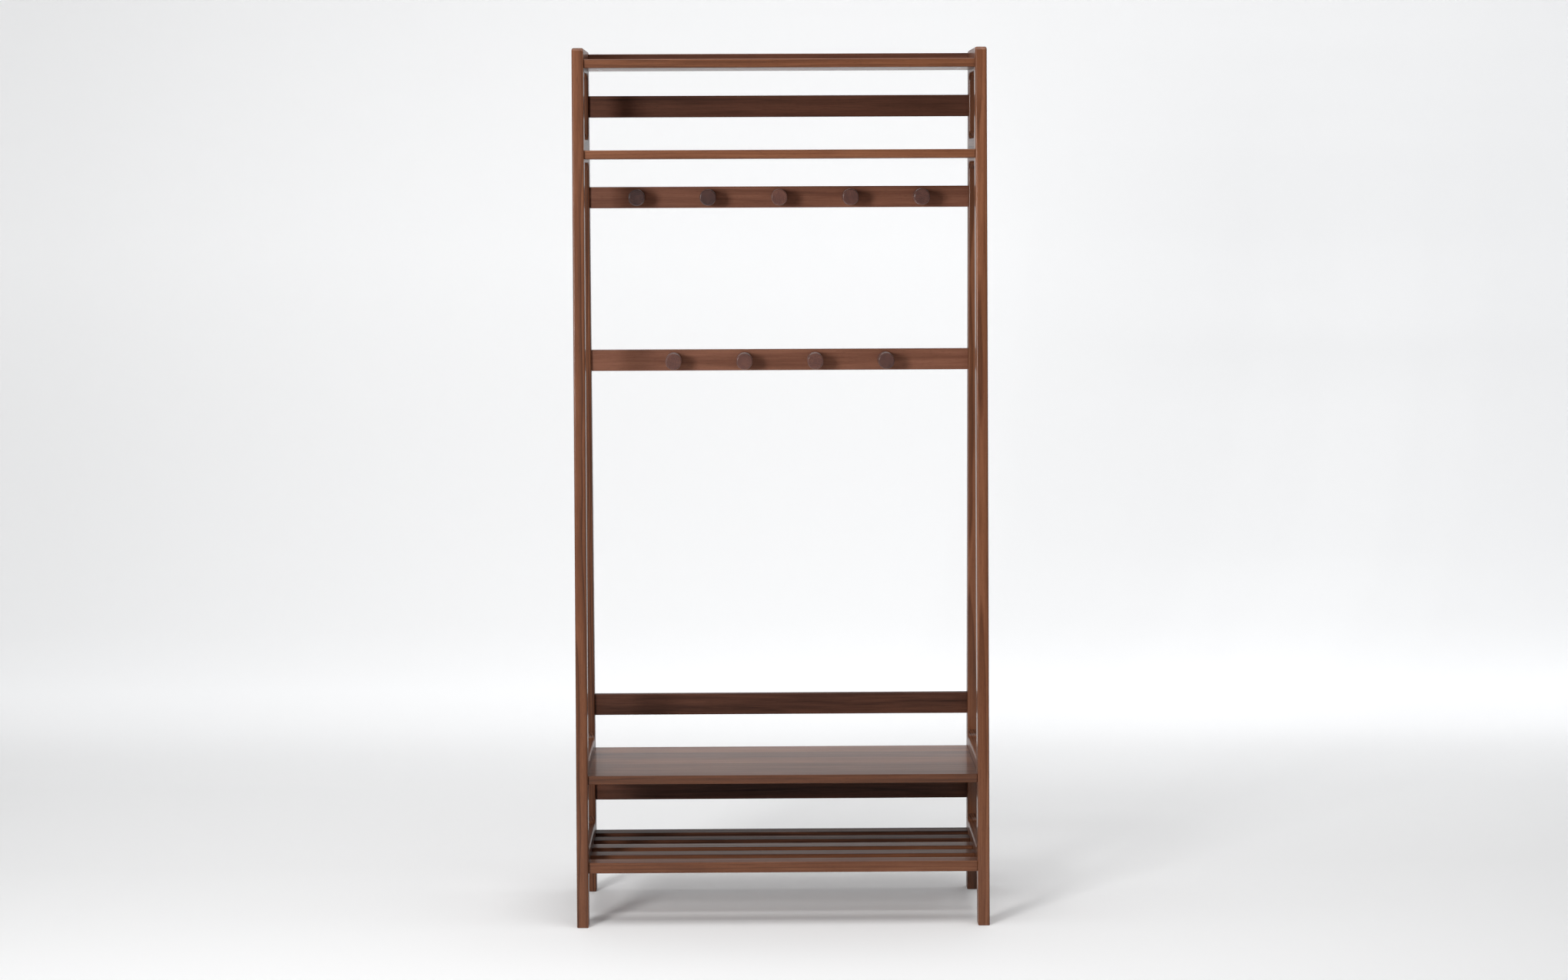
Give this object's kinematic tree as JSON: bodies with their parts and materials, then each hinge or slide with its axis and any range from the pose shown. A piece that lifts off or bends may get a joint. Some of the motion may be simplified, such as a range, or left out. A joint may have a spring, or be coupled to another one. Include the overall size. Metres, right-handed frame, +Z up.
{
  "type": "hall rack",
  "caption": "Tall free-standing wooden hall rack: leaning side frames, top shelf, hat shelf, two rails of round pegs, low bench board and slatted shoe shelf.",
  "frame": {"origin": "on the floor, midway across the width and midway between the front feet's front and the rear legs' back", "axes": "+X across the rack, -Y towards the person using it, +Z up"},
  "size_m": [0.85, 0.368, 1.8],
  "materials": {
    "walnut_frame": "walnut-stained solid wood, satin lacquer",
    "walnut_board": "walnut-stained glued board, satin lacquer",
    "walnut_rail": "walnut-stained solid wood, satin lacquer",
    "walnut_peg": "turned walnut-stained wood with darker end grain",
    "beech_dowel": "raw beech",
    "zinc_steel": "zinc-plated steel"
  },
  "bodies": {
    "root": {"left_front_leg": "walnut_frame", "left_rear_leg": "walnut_frame", "left_top_crosspiece": "walnut_frame", "left_hat_crosspiece": "walnut_frame", "left_bench_crosspiece": "walnut_frame", "left_shoe_crosspiece": "walnut_frame", "right_front_leg": "walnut_frame", "right_rear_leg": "walnut_frame", "right_top_crosspiece": "walnut_frame", "right_hat_crosspiece": "walnut_frame", "right_bench_crosspiece": "walnut_frame", "right_shoe_crosspiece": "walnut_frame", "top_shelf": "walnut_board", "top_shelf_lip": "walnut_rail", "hat_shelf": "walnut_board", "bench_board": "walnut_board", "shoe_slat_1": "walnut_board", "shoe_slat_2": "walnut_board", "shoe_slat_3": "walnut_board", "shoe_slat_4": "walnut_board", "shoe_slat_5": "walnut_board", "hat_back_rail": "walnut_rail", "upper_peg_rail": "walnut_rail", "lower_peg_rail": "walnut_rail", "bench_back_rail": "walnut_rail", "shoe_back_rail": "walnut_rail", "upper_peg_1": "walnut_peg", "upper_peg_2": "walnut_peg", "upper_peg_3": "walnut_peg", "upper_peg_4": "walnut_peg", "upper_peg_5": "walnut_peg", "lower_peg_1": "walnut_peg", "lower_peg_2": "walnut_peg", "lower_peg_3": "walnut_peg", "lower_peg_4": "walnut_peg", "left_connector_bolts": "zinc_steel", "right_connector_bolts": "zinc_steel", "left_barrel_nuts": "zinc_steel", "right_barrel_nuts": "zinc_steel", "left_board_dowels": "beech_dowel", "right_board_dowels": "beech_dowel", "left_frame_dowels": "beech_dowel", "right_frame_dowels": "beech_dowel", "left_slat_screws": "zinc_steel", "right_slat_screws": "zinc_steel", "peg_screws": "zinc_steel"}
  },
  "joints": []
}
